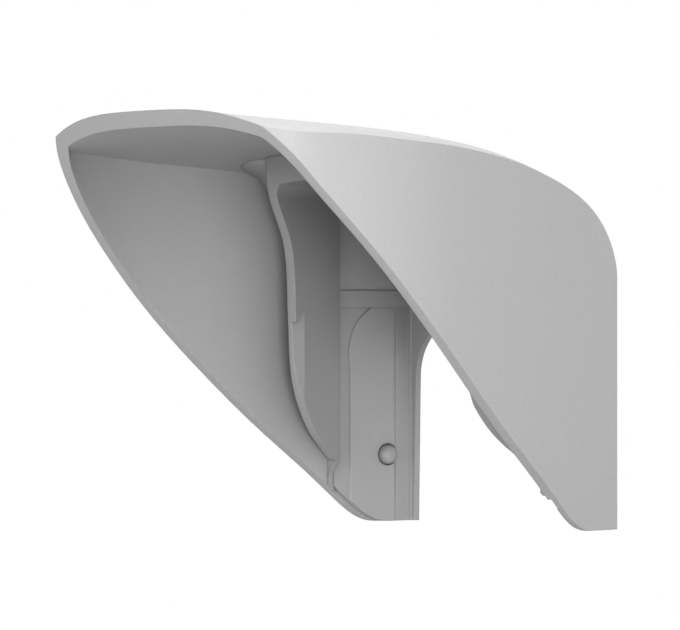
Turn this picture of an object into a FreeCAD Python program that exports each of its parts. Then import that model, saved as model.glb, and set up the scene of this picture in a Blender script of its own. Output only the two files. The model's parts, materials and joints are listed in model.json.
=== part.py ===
"""Weather hood for a wall-mounted dome camera.

A moulded canopy stands out from the wall over the camera.  A U-shaped mounting frame
fills its open back, an arched inner collar shades the camera's barrel, and two small
push-on caps cover the screws that hold the frame in the hood.

Frame: X across the hood, -Y out from the wall, Z up.  The origin is on the wall plane,
in the plane of symmetry, level with the hood's lowest edge.  "Reach" is the distance
out from the wall, so a point at a given reach has Y = -reach.
"""
import FreeCAD, Part
import math
import os

V = FreeCAD.Vector

# Canopy outline seen from above: (reach, half width).
SIDE_LINE = [(0.0, 66.0), (49.0, 74.1), (98.0, 82.8), (137.5, 87.4), (162.0, 85.6),
             (182.0, 80.4), (196.5, 73.4), (206.5, 63.0), (214.0, 48.0)]
# Lower front rim seen from the side: (reach, height).
RIM_LINE = [(20.0, 0.0), (28.0, 2.1), (36.0, 7.3), (49.0, 18.3), (78.5, 42.0), (108.0, 67.8),
            (137.5, 95.6), (162.0, 120.2), (182.0, 141.2), (196.5, 158.6), (204.0, 167.5),
            (211.5, 177.5)]
# Edge between roof and side, seen from the side: (reach, height, rise of the roof at the middle).
ROOF_LINE = [(214.0, 167.4, 9.1), (178.0, 165.3, 8.0), (148.0, 163.6, 8.2), (120.0, 161.9, 8.5),
             (98.5, 159.9, 8.8), (76.0, 156.9, 9.0), (53.0, 151.8, 8.6), (30.0, 144.2, 6.6),
             (12.2, 133.1, 3.0), (2.8, 120.2, 0.9), (0.0, 104.0, 0.0)]
CROWN_POWER = 3.5         # a flat middle that falls away quickly near the sides

WALL = 5.5                # side wall thickness
ROOF_WALL = 6.0           # roof thickness at the front
BACK_WALL = 3.5           # roof thickness where it meets the wall plane
ROOF_FADE = 110.0         # reach at which the roof has its full thickness
TOO_FAR = 260.0           # larger than any part, for cutting blocks
ABOVE = 200.0             # higher than the roof
SPARE = 2.0               # how far cutting blocks run past the surface they cut
NOSE_REACH = 206.0        # reach beyond which the roof's crown keeps one width
SECTIONS = (-94.0, -84.0, -72.0, -56.0, -36.0, -12.0, 12.0, 36.0, 56.0, 72.0, 84.0, 94.0)

FIT = 0.08                # gap between parts that slide together

# Mounting frame
FRAME_TOP = 103.8
FRAME_REACH = 44.0        # front edge of the side wings
FRAME_THICK = 2.2         # wing thickness, let into the side wall
WING_SETBACK = 2.8        # how far the wings stay behind the front rim
PLATE_THICK = 3.0         # back plate thickness
SLOT_HALF = 57.6          # clears a camera base of 110 mm
SLOT_DRAFT = 1.2          # how much the slot opens on each side at the bottom
SLOT_TOP = 90.0
SLOT_CORNER = 25.0
BAND_BOTTOM = 96.2        # raised band under the top edge of the wings
BAND_RISE = 0.7
PAD_FRONT = 36.1          # raised arch-shaped pad on each wing
PAD_BACK = 12.2
PAD_SPRING = 68.0
PAD_ARCH_TOP = 96.2
PAD_ARCH_REACH = 25.0
PAD_ARCH_TURN = 50        # degrees round the arch at which its middle point is set
PAD_RISE = 0.8
PAD_ROUND = 0.5
CORNER_HALF = 61.3        # inner face of the wing beside the back plate
CORNER_ROUND = 1.2        # hollow rounding between the wing and the back plate
LEDGE_LAP = 2.4           # how far the plate's top ledge reaches above and below the plate's top edge
LEDGE_REACH = 5.4         # front of that ledge
WALL_SCREW_HOLE = 4.5
WALL_SCREW_X = 35.0
WALL_SCREW_Z = 97.0

# Side fixing: cap, screw and insert, all along X
FIX_REACH = 16.4
FIX_Z = 30.0
FIX_SEAT = 63.9           # half distance between the seats of the two screws
RECESS_DIA = 10.0
RING_DIA = 6.5
RING_BORE = 5.9
RING_RISE = 0.9
CAP_DIA = 8.7
CAP_BORE = RING_DIA + 2 * FIT
CAP_HEIGHT = 5.6
CAP_ROOF = 2.6
CAP_ROUND = 3.4           # nearly domed
HEAD_DIA = 5.5
HEAD_HEIGHT = 1.7
THREAD_DIA = 3.0
HOLE_DIA = 3.4
PILOT_DIA = 3.04
RECESS_SPAN = 2.6         # driver recess in every screw head
RECESS_WIDTH = 0.7
RECESS_DEPTH = 1.0
FRAME_SCREW_LENGTH = 3.6  # below the head
PILOT_EXTRA = 0.3         # how much deeper each blind hole is than its screw

# Inner collar: its legs toe in from the back edge towards the front
LIP_HALF = 62.0           # inner face of a leg at the back edge
LIP_TOE_IN = 0.297        # how much nearer the middle each leg comes per mm of reach
LIP_THICK = 5.8
LIP_BACK = 45.6
LIP_BOTTOM = 28.0
ARCH_TOP = 152.0          # underside of the crown in the middle
ARCH_SHOULDER = 149.8     # underside of the crown above the corners
ARCH_CORNER = 6.0
ARCH_START = 25.0         # reaches between which the arch is drawn before it is trimmed
ARCH_END = 145.0
LIP_ROUND = 1.3           # rounding on the outer front edge of each leg
# Front edges from the top down: (height, reach of the lip, reach of the web at the side wall).
COLLAR_LINE = [(172.0, 98.5, 112.0), (160.0, 98.5, 105.0), (154.0, 98.3, 86.0), (146.0, 96.8, 76.8),
               (137.0, 92.3, 67.0), (126.0, 85.8, 57.5), (114.0, 82.7, 53.0), (100.0, 81.7, 50.8),
               (86.0, 80.9, 50.0), (72.0, 79.8, 49.5), (61.0, 77.2, 49.2), (52.0, 72.8, 49.0),
               (45.0, 68.0, 48.8), (39.0, 62.4, 48.6), (34.0, 56.4, 48.4), (30.5, 51.8, 48.2),
               (28.0, 48.4, 48.0)]
WEB_STEP = 1.6            # how far the web stays behind the lip's front edge
WEB_THICK = 3.6
WEB_INNER = 42.0          # half distances between which the web is drawn before it is trimmed
WEB_OUTER = 86.0
WEB_LEAST = 8.0           # least width over which the web's slope is taken
FACET_REACH = 74.2        # flat cut along the inner front corner of each leg
FACET_WIDTH = 3.0
FACET_FRONT = 80.9        # reach of the lip's front edge beside the flat
FACET_TOP_FRONT = 89.5
FACET_TOP_BACK = 94.0
FOOT_THICK = 1.8          # foot that ties each leg's lower end to the side wall
FOOT_SLANT = 22.0
FOOT_BOTTOM = 15.7
FOOT_HALF = 66.6
COLLAR_SCREW_XS = (-26.0, 0.0, 26.0)
COLLAR_SCREW_REACH = 66.0
COLLAR_HEAD_DIA = 6.0
COLLAR_HEAD_DEPTH = 2.0
COLLAR_SCREW_TIP = 3.2    # how far the screw enters the roof


def spline(points):
    """Smooth curve through the points."""
    curve = Part.BSplineCurve()
    curve.interpolate(points)
    return curve


def offset_line(points, distance):
    """Move each point of a (reach, value) line sideways, towards smaller values."""
    curve = spline([V(p[0], p[1], 0) for p in points])
    moved = []
    for reach, value in points:
        tangent = curve.tangent(curve.parameter(V(reach, value, 0)))[0]
        normal = V(tangent.y, -tangent.x, 0)
        if normal.y > 0:
            normal = normal * -1
        moved.append((reach + normal.x * distance, value + normal.y * distance))
    return moved


def half_width(reach):
    """Half width of the canopy at a reach."""
    curve = spline([V(p[0], p[1], 0) for p in SIDE_LINE])
    line = Part.Line(V(reach, 0, 0), V(reach, 1, 0))
    hits = curve.intersectCC(line)
    return hits[0].Y if hits else SIDE_LINE[-1][1]


def box(x0, x1, reach0, reach1, z0, z1):
    """Block between two corners, in X, reach and Z."""
    return Part.makeBox(x1 - x0, reach1 - reach0, z1 - z0, V(x0, -reach1, z0))


def rod(radius, start, direction, length):
    """Round bar."""
    return Part.makeCylinder(radius, length, start, direction)


def plan_block(inset, z0, z1, back=0.0):
    """Upright block with the canopy's outline from above, drawn in by an inset.

    Its sides run straight on from the start of the outline to the reach called back."""
    line = offset_line(SIDE_LINE, inset)
    start = V(line[0][1], -line[0][0], z0)
    right = spline([V(half, -reach, z0) for reach, half in line])
    tangent = right.tangent(right.FirstParameter)[0]
    rear = start + tangent * ((-back - start.y) / tangent.y)
    left = spline([V(-half, -reach, z0) for reach, half in line])
    far_right = V(line[-1][1], -line[-1][0], z0)
    far_left = V(-far_right.x, far_right.y, z0)
    rear_left = V(-rear.x, rear.y, z0)
    edges = [right.toShape(), Part.makeLine(far_right, far_left), left.toShape()]
    if (rear - start).Length > 1e-6:
        edges.append(Part.makeLine(V(-start.x, start.y, z0), rear_left))
        edges.append(Part.makeLine(start, rear))
    edges.append(Part.makeLine(rear_left, rear))
    wire = Part.Wire(Part.__sortEdges__(edges))
    return Part.Face(wire).extrude(V(0, 0, z1 - z0))


def roof_thickness(reach):
    """Roof wall thickness, thinner towards the wall."""
    return BACK_WALL + (ROOF_WALL - BACK_WALL) * min(1.0, reach / ROOF_FADE)


def under_roof(inset_of):
    """Everything below the crowned roof, lowered by inset_of(reach)."""
    edge = spline([V(reach, z, 0) for reach, z, rise in ROOF_LINE])
    stations = []
    for reach, z, rise in ROOF_LINE:
        tangent = edge.tangent(edge.parameter(V(reach, z, 0)))[0]
        normal = V(-1, 0, 0) if reach == 0.0 else V(tangent.y, -tangent.x, 0)
        if normal.y < 0:
            normal = normal * -1
        stations.append((reach, z, rise, normal, half_width(min(reach, NOSE_REACH)), inset_of(reach)))
    wires = []
    for x in SECTIONS:
        points = []
        for reach, z, rise, normal, half, inset in stations:
            lift = rise * (1 - abs(x / half) ** CROWN_POWER) - inset
            points.append(V(x, -(reach + normal.x * lift), z + normal.y * lift))
        roof = spline(points).toShape()
        start, end = points[0], points[-1]
        behind = V(x, end.y if inset_of(0.0) == 0.0 else 3 * SPARE, end.z)
        corners = [end, behind, V(x, behind.y, -TOO_FAR), V(x, start.y, -TOO_FAR), start]
        edges = [roof]
        for a, b in zip(corners, corners[1:]):
            if (a - b).Length > 1e-6:
                edges.append(Part.makeLine(a, b))
        wires.append(Part.Wire(edges))
    return Part.makeLoft(wires, True, False)


def side_view_block(line, x0, x1, closing):
    """Block across X from x0 to x1 whose side view is a smooth line closed by straight edges."""
    curve = spline([V(x0, -reach, z) for reach, z in line]).toShape()
    corners = [V(x0, -line[-1][0], line[-1][1])]
    corners += [V(x0, -reach, z) for reach, z in closing]
    corners.append(V(x0, -line[0][0], line[0][1]))
    edges = [curve] + [Part.makeLine(a, b) for a, b in zip(corners, corners[1:])]
    return Part.Face(Part.Wire(edges)).extrude(V(x1 - x0, 0, 0))


def behind_rim():
    """Everything above and behind the lower front rim."""
    closing = [(RIM_LINE[-1][0], TOO_FAR), (0.0, TOO_FAR), (0.0, 0.0)]
    return side_view_block(RIM_LINE, -TOO_FAR, TOO_FAR, closing)


def cavity(gap):
    """Inside of the canopy, drawn in by a gap."""
    block = plan_block(WALL + gap, -SPARE, ABOVE, back=-SPARE)
    return block.common(under_roof(lambda reach: roof_thickness(reach) + gap))


def mirrored(shape):
    """The same shape on the other side of the plane of symmetry."""
    return shape.mirror(V(0, 0, 0), V(1, 0, 0))


def inner_layer(outer_inset, inner_inset):
    """Layer that follows the side walls, between two insets from the canopy's outline."""
    layer = plan_block(outer_inset, -SPARE, ABOVE, back=-SPARE)
    return layer.cut(plan_block(inner_inset, -2 * SPARE, ABOVE + SPARE, back=-2 * SPARE))


def wing_zone(grow):
    """Space of the left frame wing: the side wall's inner layer, back plate height and reach."""
    layer = inner_layer(WALL - FRAME_THICK - grow, WALL)
    return layer.common(box(-TOO_FAR, 0, -SPARE / 2, FRAME_REACH + grow, -SPARE / 2, FRAME_TOP + grow))


def fixing_axis(side, distance):
    """Point on the side fixing's axis at a half distance, on the left (-1) or the right (+1)."""
    return V(side * distance, -FIX_REACH, FIX_Z)


def collar_screw_top(x):
    """Height at which a collar screw ends inside the roof."""
    return ceiling_height(x, COLLAR_SCREW_REACH) + COLLAR_SCREW_TIP


def ceiling_height(x, reach):
    """Height of the canopy's ceiling at a place."""
    probe = Part.makeLine(V(x, -reach, 0), V(x, -reach, TOO_FAR))
    return probe.common(cavity(0.0)).BoundBox.ZMax


def hood_shell():
    """One-piece canopy with a recess for each frame wing and blind holes for the screws."""
    solid = plan_block(0.0, 0.0, ABOVE).common(under_roof(lambda reach: 0.0)).common(behind_rim())
    solid = solid.cut(cavity(0.0))
    left = wing_zone(FIT)
    solid = solid.cut(left).cut(mirrored(left))
    for side in (-1, 1):
        start = fixing_axis(side, FIX_SEAT)
        solid = solid.cut(rod(PILOT_DIA / 2, start, V(side, 0, 0), FRAME_SCREW_LENGTH + PILOT_EXTRA))
    for x in COLLAR_SCREW_XS:
        depth = collar_screw_top(x) + PILOT_EXTRA - ARCH_TOP
        solid = solid.cut(rod(PILOT_DIA / 2, V(x, -COLLAR_SCREW_REACH, ARCH_TOP), V(0, 0, 1), depth))
    return solid


def slot_outline(y, half, top):
    """U-shaped outline in a plane parallel to the wall, open at the bottom."""
    bottom_half = half + SLOT_DRAFT
    low = -2 * SPARE
    spring = top - SLOT_CORNER
    turn = SLOT_CORNER * (1 - math.sqrt(0.5))
    left = [V(-bottom_half, y, low), V(-half, y, spring)]
    edges = [Part.makeLine(*left)]
    edges.append(Part.Arc(V(-half, y, spring), V(-half + turn, y, top - turn),
                          V(-half + SLOT_CORNER, y, top)).toShape())
    edges.append(Part.makeLine(V(-half + SLOT_CORNER, y, top), V(half - SLOT_CORNER, y, top)))
    edges.append(Part.Arc(V(half - SLOT_CORNER, y, top), V(half - turn, y, top - turn),
                          V(half, y, spring)).toShape())
    edges.append(Part.makeLine(V(half, y, spring), V(bottom_half, y, low)))
    edges.append(Part.makeLine(V(bottom_half, y, low), V(-bottom_half, y, low)))
    return Part.Face(Part.Wire(edges))


def pad_outline(x):
    """Arch-shaped side view of the raised pad."""
    middle = math.radians(PAD_ARCH_TURN)
    z_mid = PAD_SPRING + (PAD_ARCH_TOP - PAD_SPRING) * math.sin(middle)
    reach_mid = PAD_ARCH_REACH + (PAD_FRONT - PAD_ARCH_REACH) * math.cos(middle)
    crest = V(x, -PAD_ARCH_REACH, PAD_ARCH_TOP)
    curve = spline([V(x, -PAD_FRONT, PAD_SPRING), V(x, -reach_mid, z_mid), crest])
    corners = [crest, V(x, -PAD_BACK, PAD_ARCH_TOP), V(x, -PAD_BACK, -SPARE),
               V(x, -PAD_FRONT, -SPARE), V(x, -PAD_FRONT, PAD_SPRING)]
    edges = [curve.toShape()] + [Part.makeLine(a, b) for a, b in zip(corners, corners[1:])]
    return Part.Face(Part.Wire(edges))


def on_pad_face(edge):
    """Whether an edge of the left pad lies round its raised face, away from its foot."""
    middle = edge.valueAt((edge.FirstParameter + edge.LastParameter) / 2)
    face = half_width(-middle.y) - WALL - PAD_RISE
    return abs(-middle.x - face) < 2 * FIT and middle.z > 0


def corner_filler():
    """Hollow rounding up the left corner between the back plate and the wing."""
    lap = CORNER_ROUND / 2
    block = box(-CORNER_HALF - lap, -CORNER_HALF + CORNER_ROUND, PLATE_THICK - lap, PLATE_THICK + CORNER_ROUND,
                0.0, FRAME_TOP)
    centre = V(-CORNER_HALF + CORNER_ROUND, -PLATE_THICK - CORNER_ROUND, 0)
    return block.cut(rod(CORNER_ROUND, centre, V(0, 0, 1), FRAME_TOP))


def frame_side():
    """Left half of the frame without its back plate: wing, corner, arched pad and top band."""
    back = plan_block(WALL - FRAME_THICK, 0.0, FRAME_TOP, back=-SPARE)
    beside_plate = box(-half_width(PAD_BACK), -CORNER_HALF, 0.0, PAD_BACK, 0.0, FRAME_TOP).common(back)
    pad = pad_outline(-CORNER_HALF - 2 * PAD_BACK).extrude(V(3 * PAD_BACK, 0, 0))
    pad = pad.common(inner_layer(WALL - FRAME_THICK / 2, WALL + PAD_RISE))
    pad = pad.makeFillet(PAD_ROUND, [edge for edge in pad.Edges if on_pad_face(edge)])
    band = inner_layer(WALL - FRAME_THICK / 2, WALL + BAND_RISE)
    band = band.common(box(-TOO_FAR, 0, 0.0, FRAME_REACH, BAND_BOTTOM, FRAME_TOP))
    return wing_zone(0.0).fuse([beside_plate, pad, band, corner_filler()])


def plate_ledge():
    """Ledge along the plate's top edge that stands inside the canopy's back edge and covers the gap."""
    low, high = FRAME_TOP - LEDGE_LAP, FRAME_TOP + LEDGE_LAP
    foot = box(-CORNER_HALF, CORNER_HALF, PLATE_THICK / 2, LEDGE_REACH, low, FRAME_TOP)
    lip = box(-CORNER_HALF, CORNER_HALF, BACK_WALL + FIT, LEDGE_REACH, low, high).common(cavity(FIT))
    return foot.fuse(lip)


def mounting_frame():
    """U-shaped frame: a back plate round the camera slot and a wing along each side."""
    plate = plan_block(WALL - FRAME_THICK, 0.0, FRAME_TOP, back=-SPARE)
    plate = plate.common(box(-TOO_FAR, TOO_FAR, 0.0, PLATE_THICK, 0.0, FRAME_TOP))
    side = frame_side()
    solid = plate.fuse([side, mirrored(side)])
    solid = solid.common(box(-TOO_FAR, TOO_FAR, 0.0, FRAME_REACH, 0.0, FRAME_TOP))
    solid = solid.fuse(plate_ledge())
    solid = solid.common(behind_rim().translated(V(0, WING_SETBACK, 0)))
    slot = slot_outline(SPARE, SLOT_HALF, SLOT_TOP).extrude(V(0, -FRAME_REACH, 0))
    solid = solid.cut(slot)
    for side_sign in (-1, 1):
        seat = fixing_axis(side_sign, FIX_SEAT)
        inward = V(-side_sign, 0, 0)
        recess = rod(RECESS_DIA / 2, seat, inward, RECESS_DIA)
        ring = rod(RING_DIA / 2, seat, inward, RING_RISE).cut(rod(RING_BORE / 2, seat, inward, RING_RISE))
        solid = solid.cut(recess.cut(ring))
        solid = solid.cut(rod(HOLE_DIA / 2, seat, -inward, RECESS_DIA))
    for x in (-WALL_SCREW_X, WALL_SCREW_X):
        solid = solid.cut(rod(WALL_SCREW_HOLE / 2, V(x, SPARE, WALL_SCREW_Z), V(0, -1, 0), FRAME_REACH))
    return solid.removeSplitter()


def lip_half(reach):
    """Half distance between the inner faces of the collar's legs."""
    return LIP_HALF - LIP_TOE_IN * (reach - LIP_BACK)


def arch_outline(reach, grow, top, shoulder, corner):
    """Upside-down U across the hood at a reach, its legs running down past the hood's bottom."""
    half = lip_half(reach) + grow
    turn = corner * (1 - math.sqrt(0.5))
    y = -reach
    low = -3 * SPARE
    knee = shoulder - corner
    edges = [Part.makeLine(V(-half, y, low), V(-half, y, knee)),
             Part.Arc(V(-half, y, knee), V(-half + turn, y, shoulder - turn),
                      V(-half + corner, y, shoulder)).toShape(),
             Part.Arc(V(-half + corner, y, shoulder), V(0, y, top), V(half - corner, y, shoulder)).toShape(),
             Part.Arc(V(half - corner, y, shoulder), V(half - turn, y, shoulder - turn),
                      V(half, y, knee)).toShape(),
             Part.makeLine(V(half, y, knee), V(half, y, low)),
             Part.makeLine(V(half, y, low), V(-half, y, low))]
    return Part.Wire(edges)


def arch_block(grow, top, shoulder, corner):
    """Tapering block between the collar's legs, grown sideways."""
    ends = [arch_outline(reach, grow, top, shoulder, corner) for reach in (ARCH_START, ARCH_END)]
    return Part.makeLoft(ends, True, True)


def web_sheet():
    """Web between the right leg and the side wall: straight from one to the other at every height."""
    edges = []
    for x in (WEB_INNER, WEB_OUTER):
        points = []
        for height, lip, web in COLLAR_LINE:
            start = lip - WEB_STEP
            lip_x = lip_half(lip) + LIP_THICK
            wall_x = half_width(web) - WALL
            share = (x - lip_x) / max(wall_x - lip_x, WEB_LEAST)
            points.append(V(x, -(start + (web - start) * share), height))
        curve = Part.BSplineCurve()
        curve.interpolate(Points=points, Parameters=[points[0].z - point.z for point in points])
        edges.append(curve.toShape())
    return Part.makeRuledSurface(edges[0], edges[1]).extrude(V(0, WEB_THICK, 0))


def lip_facet():
    """Tool that cuts the flat along a leg's inner front corner."""
    back, front = FACET_REACH, FACET_FRONT
    run = front - back
    inner, outer = lip_half(front) - FACET_WIDTH, lip_half(front) + FACET_WIDTH
    plan = [V(lip_half(back), -back, 0), V(outer, -front, 0), V(outer, -front - run, 0),
            V(inner, -front - run, 0), V(inner, -back, 0)]
    prism = Part.Face(Part.makePolygon(plan + [plan[0]])).extrude(V(0, 0, FACET_TOP_BACK))
    slope = (FACET_TOP_BACK - FACET_TOP_FRONT) / run
    at_wall = FACET_TOP_BACK + slope * back
    under = [V(-TOO_FAR, 0, at_wall), V(-TOO_FAR, -TOO_FAR, at_wall - slope * TOO_FAR),
             V(-TOO_FAR, -TOO_FAR, 0), V(-TOO_FAR, 0, 0)]
    below = Part.Face(Part.makePolygon(under + [under[0]])).extrude(V(2 * TOO_FAR, 0, 0))
    return prism.common(below)


def collar_foot():
    """Foot across a leg's lower end, with a thin rib down the side wall."""
    y = -LIP_BACK
    top = LIP_BOTTOM + LIP_THICK
    outline = [V(LIP_HALF, y, LIP_BOTTOM), V(LIP_HALF, y, top), V(TOO_FAR, y, top),
               V(TOO_FAR, y, FOOT_BOTTOM), V(FOOT_HALF, y, FOOT_BOTTOM), V(FOOT_HALF, y, FOOT_SLANT)]
    foot = Part.Face(Part.makePolygon(outline + [outline[0]])).extrude(V(0, -FOOT_THICK, 0))
    return foot.common(behind_rim())


def underside(x):
    """Height of the crown's underside, which is an arc across the hood."""
    half = lip_half(COLLAR_SCREW_REACH) - ARCH_CORNER
    rise = ARCH_TOP - ARCH_SHOULDER
    radius = (half * half + rise * rise) / (2 * rise)
    return ARCH_TOP - radius + math.sqrt(radius * radius - x * x)


def inner_collar():
    """Arched collar: two legs that toe in, a crown, and a web out to each side wall."""
    lip_line = [(lip, height) for height, lip, web in COLLAR_LINE]
    side_view = side_view_block(lip_line, -TOO_FAR, TOO_FAR,
                                [(LIP_BACK, LIP_BOTTOM), (LIP_BACK, ABOVE), (lip_line[0][0], ABOVE)])
    tunnel = arch_block(0.0, ARCH_TOP, ARCH_SHOULDER, ARCH_CORNER)
    outside = arch_block(LIP_THICK, TOO_FAR, TOO_FAR - SPARE, ARCH_CORNER)
    arch = outside.common(side_view)
    widest = lip_half(LIP_BACK) + LIP_THICK
    front = [edge for edge in arch.Edges if edge.BoundBox.YLength > 1 and edge.BoundBox.ZLength > LIP_BOTTOM
             and max(edge.BoundBox.XMax, -edge.BoundBox.XMin) > widest - 1]
    arch = arch.makeFillet(LIP_ROUND, front).cut(tunnel)
    facet = lip_facet()
    arch = arch.cut(facet).cut(mirrored(facet))
    web = web_sheet().fuse(collar_foot())
    web = web.fuse(mirrored(web)).cut(tunnel)
    web = web.common(box(-TOO_FAR, TOO_FAR, LIP_BACK, TOO_FAR, FOOT_BOTTOM, ABOVE))
    web = web.cut(outside.common(box(-TOO_FAR, TOO_FAR, 0, TOO_FAR, LIP_BOTTOM, ABOVE + SPARE)))
    solid = arch.fuse(web).common(cavity(FIT))
    for x in COLLAR_SCREW_XS:
        base = V(x, -COLLAR_SCREW_REACH, underside(x) - FIT)
        solid = solid.cut(rod(HOLE_DIA / 2, base, V(0, 0, 1), ABOVE - ARCH_TOP))
        sink = Part.makeCone(COLLAR_HEAD_DIA / 2 + FIT, THREAD_DIA / 2 + FIT, COLLAR_HEAD_DEPTH + FIT,
                             base, V(0, 0, 1))
        mouth = rod(COLLAR_HEAD_DIA / 2 + FIT, base - V(0, 0, SPARE), V(0, 0, 1), SPARE)
        solid = solid.cut(sink).cut(mouth)
    return solid.removeSplitter()


def screw_cap(side):
    """Push-on cap over one frame screw: a domed cup."""
    seat = fixing_axis(side, FIX_SEAT - FIT)
    inward = V(-side, 0, 0)
    body = rod(CAP_DIA / 2, seat, inward, CAP_HEIGHT)
    top = FIX_SEAT - FIT - CAP_HEIGHT
    rim = [edge for edge in body.Edges if edge.Length > CAP_DIA
           and abs(abs(edge.BoundBox.Center.x) - top) < FIT]
    body = body.makeFillet(CAP_ROUND, rim)
    return body.cut(rod(CAP_BORE / 2, seat, inward, CAP_HEIGHT - CAP_ROOF))


def frame_screws():
    """Two pan-head screws that hold the frame's wings in the hood."""
    screws = []
    for side in (-1, 1):
        inward = V(-side, 0, 0)
        head = rod(HEAD_DIA / 2, fixing_axis(side, FIX_SEAT), inward, HEAD_HEIGHT)
        shank = rod(THREAD_DIA / 2, fixing_axis(side, FIX_SEAT - FIT), V(side, 0, 0), FRAME_SCREW_LENGTH + FIT)
        crown = fixing_axis(side, FIX_SEAT - HEAD_HEIGHT)
        screws.append(cross_recess(head.fuse(shank), crown, V(side, 0, 0)))
    return Part.makeCompound(screws)


def cross_recess(screw, top, inward):
    """Cut a cross-shaped driver recess into a screw head, from its top inward."""
    side = V(0, 1, 0)
    up = inward.cross(side)
    for along, across in ((side, up), (up, side)):
        corner = top - along * (RECESS_SPAN / 2) - across * (RECESS_WIDTH / 2)
        span = [corner, corner + along * RECESS_SPAN,
                corner + along * RECESS_SPAN + across * RECESS_WIDTH, corner + across * RECESS_WIDTH]
        slot = Part.Face(Part.makePolygon(span + [corner])).extrude(inward * RECESS_DEPTH)
        screw = screw.cut(slot)
    return screw


def collar_screws():
    """Countersunk screws that hold the collar's crown up against the roof."""
    screws = []
    for x in COLLAR_SCREW_XS:
        base = V(x, -COLLAR_SCREW_REACH, underside(x))
        head = Part.makeCone(COLLAR_HEAD_DIA / 2, THREAD_DIA / 2, COLLAR_HEAD_DEPTH, base, V(0, 0, 1))
        shank = rod(THREAD_DIA / 2, base, V(0, 0, 1), collar_screw_top(x) - base.z)
        screws.append(cross_recess(head.fuse(shank), base, V(0, 0, 1)))
    return Part.makeCompound(screws)


PARTS = {
    "hood_shell": hood_shell,
    "mounting_frame": mounting_frame,
    "inner_collar": inner_collar,
    "screw_cap_left": lambda: screw_cap(-1),
    "screw_cap_right": lambda: screw_cap(1),
    "frame_screws": frame_screws,
    "collar_screws": collar_screws,
}


if __name__ == "__main__":
    os.makedirs("parts", exist_ok=True)
    for name, build in PARTS.items():
        build().exportStep("parts/" + name + ".step")
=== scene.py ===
"""Finished look of the camera weather hood: materials, light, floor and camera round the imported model."""
import json
import math

import bpy
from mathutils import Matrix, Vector


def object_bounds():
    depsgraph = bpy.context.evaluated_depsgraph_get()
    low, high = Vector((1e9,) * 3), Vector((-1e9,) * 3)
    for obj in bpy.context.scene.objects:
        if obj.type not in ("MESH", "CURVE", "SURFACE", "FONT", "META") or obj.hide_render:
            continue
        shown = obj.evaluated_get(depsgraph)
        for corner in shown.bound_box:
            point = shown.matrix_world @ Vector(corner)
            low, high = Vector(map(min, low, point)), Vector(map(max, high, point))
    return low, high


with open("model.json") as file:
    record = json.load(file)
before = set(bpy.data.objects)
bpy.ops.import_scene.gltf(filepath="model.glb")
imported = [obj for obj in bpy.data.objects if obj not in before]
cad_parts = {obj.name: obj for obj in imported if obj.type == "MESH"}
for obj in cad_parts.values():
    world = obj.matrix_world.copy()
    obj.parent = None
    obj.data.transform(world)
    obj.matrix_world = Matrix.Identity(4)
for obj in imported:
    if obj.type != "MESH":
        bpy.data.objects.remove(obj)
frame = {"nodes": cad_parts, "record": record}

CAD_BOX = [list(corner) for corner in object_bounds()]
SCENE = bpy.context.scene

# Camera: its place round the frame's upright axis, then how far it is turned away from that axis.
# Lengths are in metres, angles in degrees, and the lens and sensor in millimetres.
CAMERA_DISTANCE = 1.944
CAMERA_AZIMUTH = 45.54
CAMERA_HEIGHT = 0.0859
CAMERA_PAN = 2.22
CAMERA_TILT = 0.20
CAMERA_LENS = 232.2
SENSOR = 36.0
NEAR_CLIP = 0.05
FAR_CLIP = 60.0

# Surroundings: strength of the light from straight up and from the horizon.
SKY_TOP = 0.05
SKY_LEVEL = 1.2

# Floor: how far below the hood it is, its size, its grey as seen and as it lights the hood, and the
# distances between which it fades to white.
FLOOR_DROP = 0.30
FLOOR_HALF = 14.0
FLOOR_GREY = 0.86
FLOOR_BOUNCE = 0.35
FLOOR_ROUGHNESS = 0.85
MOTTLE_SCALE = 6.0
FADE_START = 0.35
FADE_END = 1.3
WHITE = (1.0, 1.0, 1.0, 1.0)

# Soft area lights: name, place, width in metres, power in watts.
AIM = (0.0, -0.10, 0.10)
LIGHTS = [
    ("overhead", (0.0, -0.20, 1.30), 1.2, 27.0),
    ("key", (0.90, -0.75, 0.95), 0.6, 3.2),
    ("front", (0.25, -1.60, 0.05), 0.8, 6.2),
    ("low_right", (1.25, -0.95, -0.02), 0.5, 15.5),
]

HOOD_GREY = (0.360, 0.361, 0.364)
FRAME_GREY = (0.330, 0.331, 0.335)
COLLAR_GREY = (0.295, 0.296, 0.299)
CAP_GREY = (0.310, 0.311, 0.314)
STEEL_GREY = (0.62, 0.63, 0.64)

# Plastic: sizes in metres, and noise scales in repeats per metre.
EDGE_ROUND = 0.0008       # rounding that every moulded edge shows
PAINTED_SHADE_REACH = 0.060      # how near other surfaces have to be for the painted shade to darken the plastic
PAINTED_SHADE_LEVEL = 0.5        # painted shade: colour that the deepest places fade to, as a share of the plain colour
FLOW_STRETCH = (1.0, 1.0, 0.35)
FLOW_SCALE = 16.0
CLOUD_SCALE = 70.0
SPECK_SCALE = 1000.0
PEBBLE_SCALE = 1250.0
PEBBLE_SHARE = 0.6        # height of the pebble grain beside the specks
WAVE_HEIGHT = 0.0005
GRAIN_HEIGHT = 0.00006

# Plated steel
BLOTCH_SCALE = 420.0
MARK_STRETCH = (1.0, 6.0, 6.0)
MARK_SCALE = 1600.0
MARK_HEIGHT = 0.00003


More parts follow.
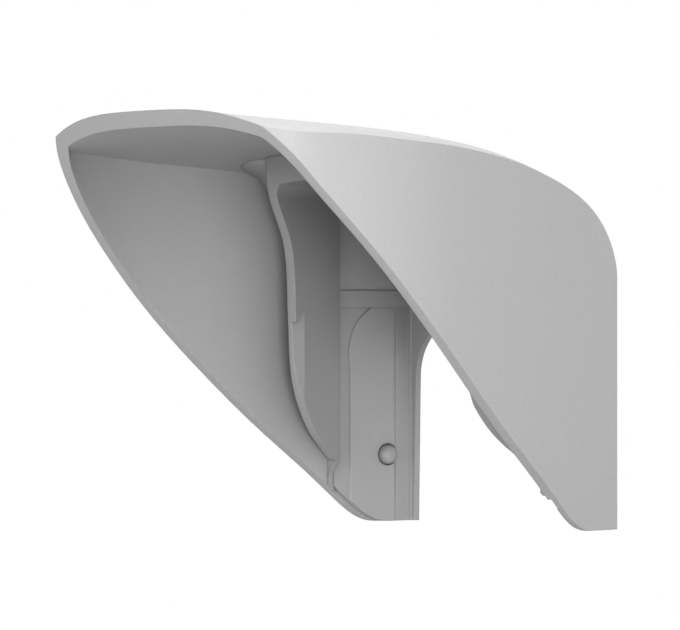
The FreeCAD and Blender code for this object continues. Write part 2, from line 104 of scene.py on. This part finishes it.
class Graph:
    """Short way to add and wire the nodes of one material or world."""

    def __init__(self, owner):
        owner.use_nodes = True
        self.tree = owner.node_tree
        self.tree.nodes.clear()

    def node(self, kind, values=None, **settings):
        """Add a node, set its options, and fill its inputs with numbers or links."""
        node = self.tree.nodes.new(kind)
        for name, value in settings.items():
            setattr(node, name, value)
        for name, value in (values or {}).items():
            if isinstance(value, bpy.types.NodeSocket):
                self.tree.links.new(value, node.inputs[name])
            else:
                node.inputs[name].default_value = value
        return node

    def maths(self, operation, first, second=0.0, clamp=False):
        """Output of one arithmetic node."""
        node = self.node("ShaderNodeMath", {0: first, 1: second}, operation=operation, use_clamp=clamp)
        return node.outputs[0]

    def span(self, value, low, high, to_low, to_high):
        """Output of a map from one range to another, held at its ends."""
        values = {"Value": value, "From Min": low, "From Max": high, "To Min": to_low, "To Max": to_high}
        return self.node("ShaderNodeMapRange", values).outputs["Result"]

    def noise(self, place, scale, detail, roughness=0.5):
        """Output of a noise texture, between 0 and 1."""
        values = {"Vector": place, "Scale": scale, "Detail": detail, "Roughness": roughness}
        return self.node("ShaderNodeTexNoise", values).outputs["Fac"]

    def blend(self, share, first, second):
        """Output of a colour mix."""
        node = self.node("ShaderNodeMix", {"Factor": share}, data_type="RGBA")
        for socket, value in ((node.inputs[6], first), (node.inputs[7], second)):
            if isinstance(value, bpy.types.NodeSocket):
                self.tree.links.new(value, socket)
            else:
                socket.default_value = value
        return node.outputs[2]


def shade(colour, factor):
    """A colour made lighter or darker, with full opacity."""
    return tuple(min(1.0, part * factor) for part in colour) + (1.0,)


def soft_edges(graph, radius):
    """Surface direction with edges rounded to a radius, and a mask that is 1 on those edges."""
    rounded = graph.node("ShaderNodeBevel", {"Radius": radius}, samples=4).outputs["Normal"]
    plain = graph.node("ShaderNodeNewGeometry").outputs["Normal"]
    match = graph.node("ShaderNodeVectorMath", {0: rounded, 1: plain}, operation="DOT_PRODUCT")
    return rounded, graph.span(match.outputs["Value"], 0.995, 0.85, 0.0, 1.0)


def moulded_plastic(name, colour, roughness, grain):
    """Satin moulded plastic: fine grain, faint flow clouds, soft rubbed edges, and painted shade that
    darkens the colour in recesses.
    """
    material = bpy.data.materials.new(name)
    graph = Graph(material)
    place = graph.node("ShaderNodeTexCoord").outputs["Object"]
    stretched = graph.node("ShaderNodeMapping", {"Vector": place, "Scale": FLOW_STRETCH}).outputs["Vector"]
    flow = graph.noise(stretched, FLOW_SCALE, 3.0)
    cloud = graph.noise(place, CLOUD_SCALE, 2.0)
    speck = graph.noise(place, SPECK_SCALE, 2.0, 0.7)
    pebble = graph.node("ShaderNodeTexVoronoi", {"Vector": place, "Scale": PEBBLE_SCALE, "Randomness": 1.0},
                        feature="SMOOTH_F1").outputs["Distance"]
    rounded, edges = soft_edges(graph, EDGE_ROUND)
    worn = graph.maths("MULTIPLY", edges, graph.span(cloud, 0.35, 0.65, 0.35, 1.0))

    tone = graph.blend(graph.span(flow, 0.3, 0.7, 0.0, 1.0), shade(colour, 0.975), shade(colour, 1.02))
    tone = graph.blend(graph.span(speck, 0.35, 0.65, 0.0, 0.6), tone, shade(colour, 0.92))
    # Painted shade: the colour is darkened, down to about half, where other surfaces are near, in corners
    # and deep recesses where shade falls.
    openness = graph.node("ShaderNodeAmbientOcclusion", {"Distance": PAINTED_SHADE_REACH}, samples=3).outputs["AO"]
    shade_depth = graph.span(openness, 0.95, 0.2, 0.0, 0.9)
    painted_shade = graph.maths("MULTIPLY", shade_depth, graph.span(cloud, 0.3, 0.7, 0.94, 1.0))
    tone = graph.blend(painted_shade, tone, shade(colour, PAINTED_SHADE_LEVEL))
    tone = graph.blend(graph.maths("MULTIPLY", worn, 0.35), tone, shade(colour, 1.18))

    gloss = graph.maths("ADD", roughness, graph.span(flow, 0.3, 0.7, -0.05, 0.05))
    gloss = graph.maths("ADD", gloss, graph.span(speck, 0.3, 0.7, -0.04, 0.04))
    gloss = graph.maths("SUBTRACT", gloss, graph.maths("MULTIPLY", worn, 0.12), clamp=True)

    wave = graph.node("ShaderNodeBump", {"Strength": 0.25, "Distance": WAVE_HEIGHT, "Height": flow,
                                         "Normal": rounded})
    height = graph.maths("ADD", graph.maths("MULTIPLY", pebble, PEBBLE_SHARE), speck)
    bump = graph.node("ShaderNodeBump", {"Strength": grain, "Distance": GRAIN_HEIGHT, "Height": height,
                                         "Normal": wave.outputs["Normal"]})
    shader = graph.node("ShaderNodeBsdfPrincipled", {"Base Color": tone, "Roughness": gloss, "IOR": 1.46,
                                                     "Specular IOR Level": 0.42,
                                                     "Normal": bump.outputs["Normal"]})
    graph.node("ShaderNodeOutputMaterial", {"Surface": shader.outputs["BSDF"]})
    return material


def plated_steel(name, colour):
    """Zinc-plated steel with fine marks, blotchy plating and bright rubbed edges."""
    material = bpy.data.materials.new(name)
    graph = Graph(material)
    place = graph.node("ShaderNodeTexCoord").outputs["Object"]
    blotch = graph.noise(place, BLOTCH_SCALE, 3.0)
    fine = graph.node("ShaderNodeMapping", {"Vector": place, "Scale": MARK_STRETCH}).outputs["Vector"]
    marks = graph.noise(fine, MARK_SCALE, 2.0, 0.7)
    rounded, worn = soft_edges(graph, EDGE_ROUND / 3)
    tone = graph.blend(graph.span(blotch, 0.3, 0.7, 0.0, 1.0), shade(colour, 0.82), shade(colour, 1.08))
    tone = graph.blend(graph.maths("MULTIPLY", worn, 0.6), tone, shade(colour, 1.3))
    gloss = graph.span(blotch, 0.3, 0.7, 0.26, 0.42)
    gloss = graph.maths("ADD", gloss, graph.span(marks, 0.3, 0.7, -0.05, 0.05))
    bump = graph.node("ShaderNodeBump", {"Strength": 0.25, "Distance": MARK_HEIGHT, "Height": marks,
                                         "Normal": rounded})
    shader = graph.node("ShaderNodeBsdfPrincipled", {"Base Color": tone, "Metallic": 1.0, "Roughness": gloss,
                                                     "Normal": bump.outputs["Normal"]})
    graph.node("ShaderNodeOutputMaterial", {"Surface": shader.outputs["BSDF"]})
    return material


def finish_nodes():
    """Give every CAD node the finish of its material slot."""
    finishes = {
        "hood_plastic": moulded_plastic("hood_plastic_finish", HOOD_GREY, 0.50, 0.45),
        "frame_plastic": moulded_plastic("frame_plastic_finish", FRAME_GREY, 0.52, 0.40),
        "collar_plastic": moulded_plastic("collar_plastic_finish", COLLAR_GREY, 0.52, 0.40),
        "cap_plastic": moulded_plastic("cap_plastic_finish", CAP_GREY, 0.56, 0.20),
        "screw_steel": plated_steel("screw_steel_finish", STEEL_GREY),
    }
    for part in frame["record"]["subparts"]:
        node = frame["nodes"][part["node"]]
        for slot in node.material_slots:
            slot.material = finishes[part["material_slot"]]


def add_floor():
    """Large pale floor well below the hood. It fades to white far away and lights the hood only a little."""
    mesh = bpy.data.meshes.new("floor")
    corners = [(-FLOOR_HALF, -FLOOR_HALF, 0), (FLOOR_HALF, -FLOOR_HALF, 0),
               (FLOOR_HALF, FLOOR_HALF, 0), (-FLOOR_HALF, FLOOR_HALF, 0)]
    mesh.from_pydata(corners, [], [(0, 1, 2, 3)])
    floor = bpy.data.objects.new("floor", mesh)
    floor.location.z = CAD_BOX[0][2] - FLOOR_DROP
    SCENE.collection.objects.link(floor)
    material = bpy.data.materials.new("floor_paint")
    graph = Graph(material)
    place = graph.node("ShaderNodeTexCoord").outputs["Object"]
    away = graph.node("ShaderNodeVectorMath", {0: place}, operation="LENGTH").outputs["Value"]
    mottle = graph.noise(place, MOTTLE_SCALE, 3.0)
    grey = (FLOOR_GREY,) * 3
    tone = graph.blend(graph.span(mottle, 0.3, 0.7, 0.0, 1.0), shade(grey, 0.985), shade(grey, 1.0))
    seen = graph.node("ShaderNodeLightPath").outputs["Is Camera Ray"]
    tone = graph.blend(seen, shade((FLOOR_BOUNCE,) * 3, 1.0), tone)
    paint = graph.node("ShaderNodeBsdfPrincipled", {"Base Color": tone, "Roughness": FLOOR_ROUGHNESS,
                                                    "Specular IOR Level": 0.2})
    glow = graph.node("ShaderNodeEmission", {"Color": WHITE, "Strength": 1.0})
    fade = graph.maths("MULTIPLY", graph.span(away, FADE_START, FADE_END, 0.0, 1.0), seen)
    surface = graph.node("ShaderNodeMixShader", {0: fade, 1: paint.outputs["BSDF"],
                                                 2: glow.outputs["Emission"]})
    graph.node("ShaderNodeOutputMaterial", {"Surface": surface.outputs["Shader"]})
    mesh.materials.append(material)


def add_surroundings():
    """White surroundings. The camera sees plain white; the hood gets most of its light from the horizon."""
    world = bpy.data.worlds.new("studio")
    graph = Graph(world)
    direction = graph.node("ShaderNodeTexCoord").outputs["Generated"]
    height = graph.node("ShaderNodeSeparateXYZ", {"Vector": direction}).outputs["Z"]
    strength = graph.span(height, 0.0, 1.0, SKY_LEVEL, SKY_TOP)
    light = graph.node("ShaderNodeBackground", {"Color": WHITE, "Strength": strength})
    plain = graph.node("ShaderNodeBackground", {"Color": WHITE, "Strength": 1.0})
    seen = graph.node("ShaderNodeLightPath").outputs["Is Camera Ray"]
    surface = graph.node("ShaderNodeMixShader", {0: seen, 1: light.outputs["Background"],
                                                 2: plain.outputs["Background"]})
    graph.node("ShaderNodeOutputWorld", {"Surface": surface.outputs["Shader"]})
    SCENE.world = world


def add_lights():
    """Soft square area lights, all aimed at the middle of the hood."""
    for name, place, size, power in LIGHTS:
        data = bpy.data.lights.new(name, "AREA")
        data.shape = "SQUARE"
        data.size = size
        data.energy = power
        light = bpy.data.objects.new(name, data)
        light.location = place
        light.rotation_euler = (Vector(AIM) - Vector(place)).to_track_quat("-Z", "Y").to_euler()
        SCENE.collection.objects.link(light)


def add_camera():
    """Camera level with the middle of the hood, out to the right and in front."""
    data = bpy.data.cameras.new("camera")
    data.sensor_width = SENSOR
    data.lens = CAMERA_LENS
    data.clip_start = NEAR_CLIP
    data.clip_end = FAR_CLIP
    camera = bpy.data.objects.new("camera", data)
    SCENE.collection.objects.link(camera)
    bearing = math.radians(CAMERA_AZIMUTH)
    camera.location = (CAMERA_DISTANCE * math.sin(bearing), -CAMERA_DISTANCE * math.cos(bearing),
                       CAMERA_HEIGHT)
    camera.rotation_euler = (math.radians(90 + CAMERA_TILT), 0.0,
                             math.radians(CAMERA_AZIMUTH + CAMERA_PAN))
    SCENE.camera = camera


SCENE.view_settings.view_transform = "Standard"
finish_nodes()
add_floor()
add_surroundings()
add_lights()
add_camera()
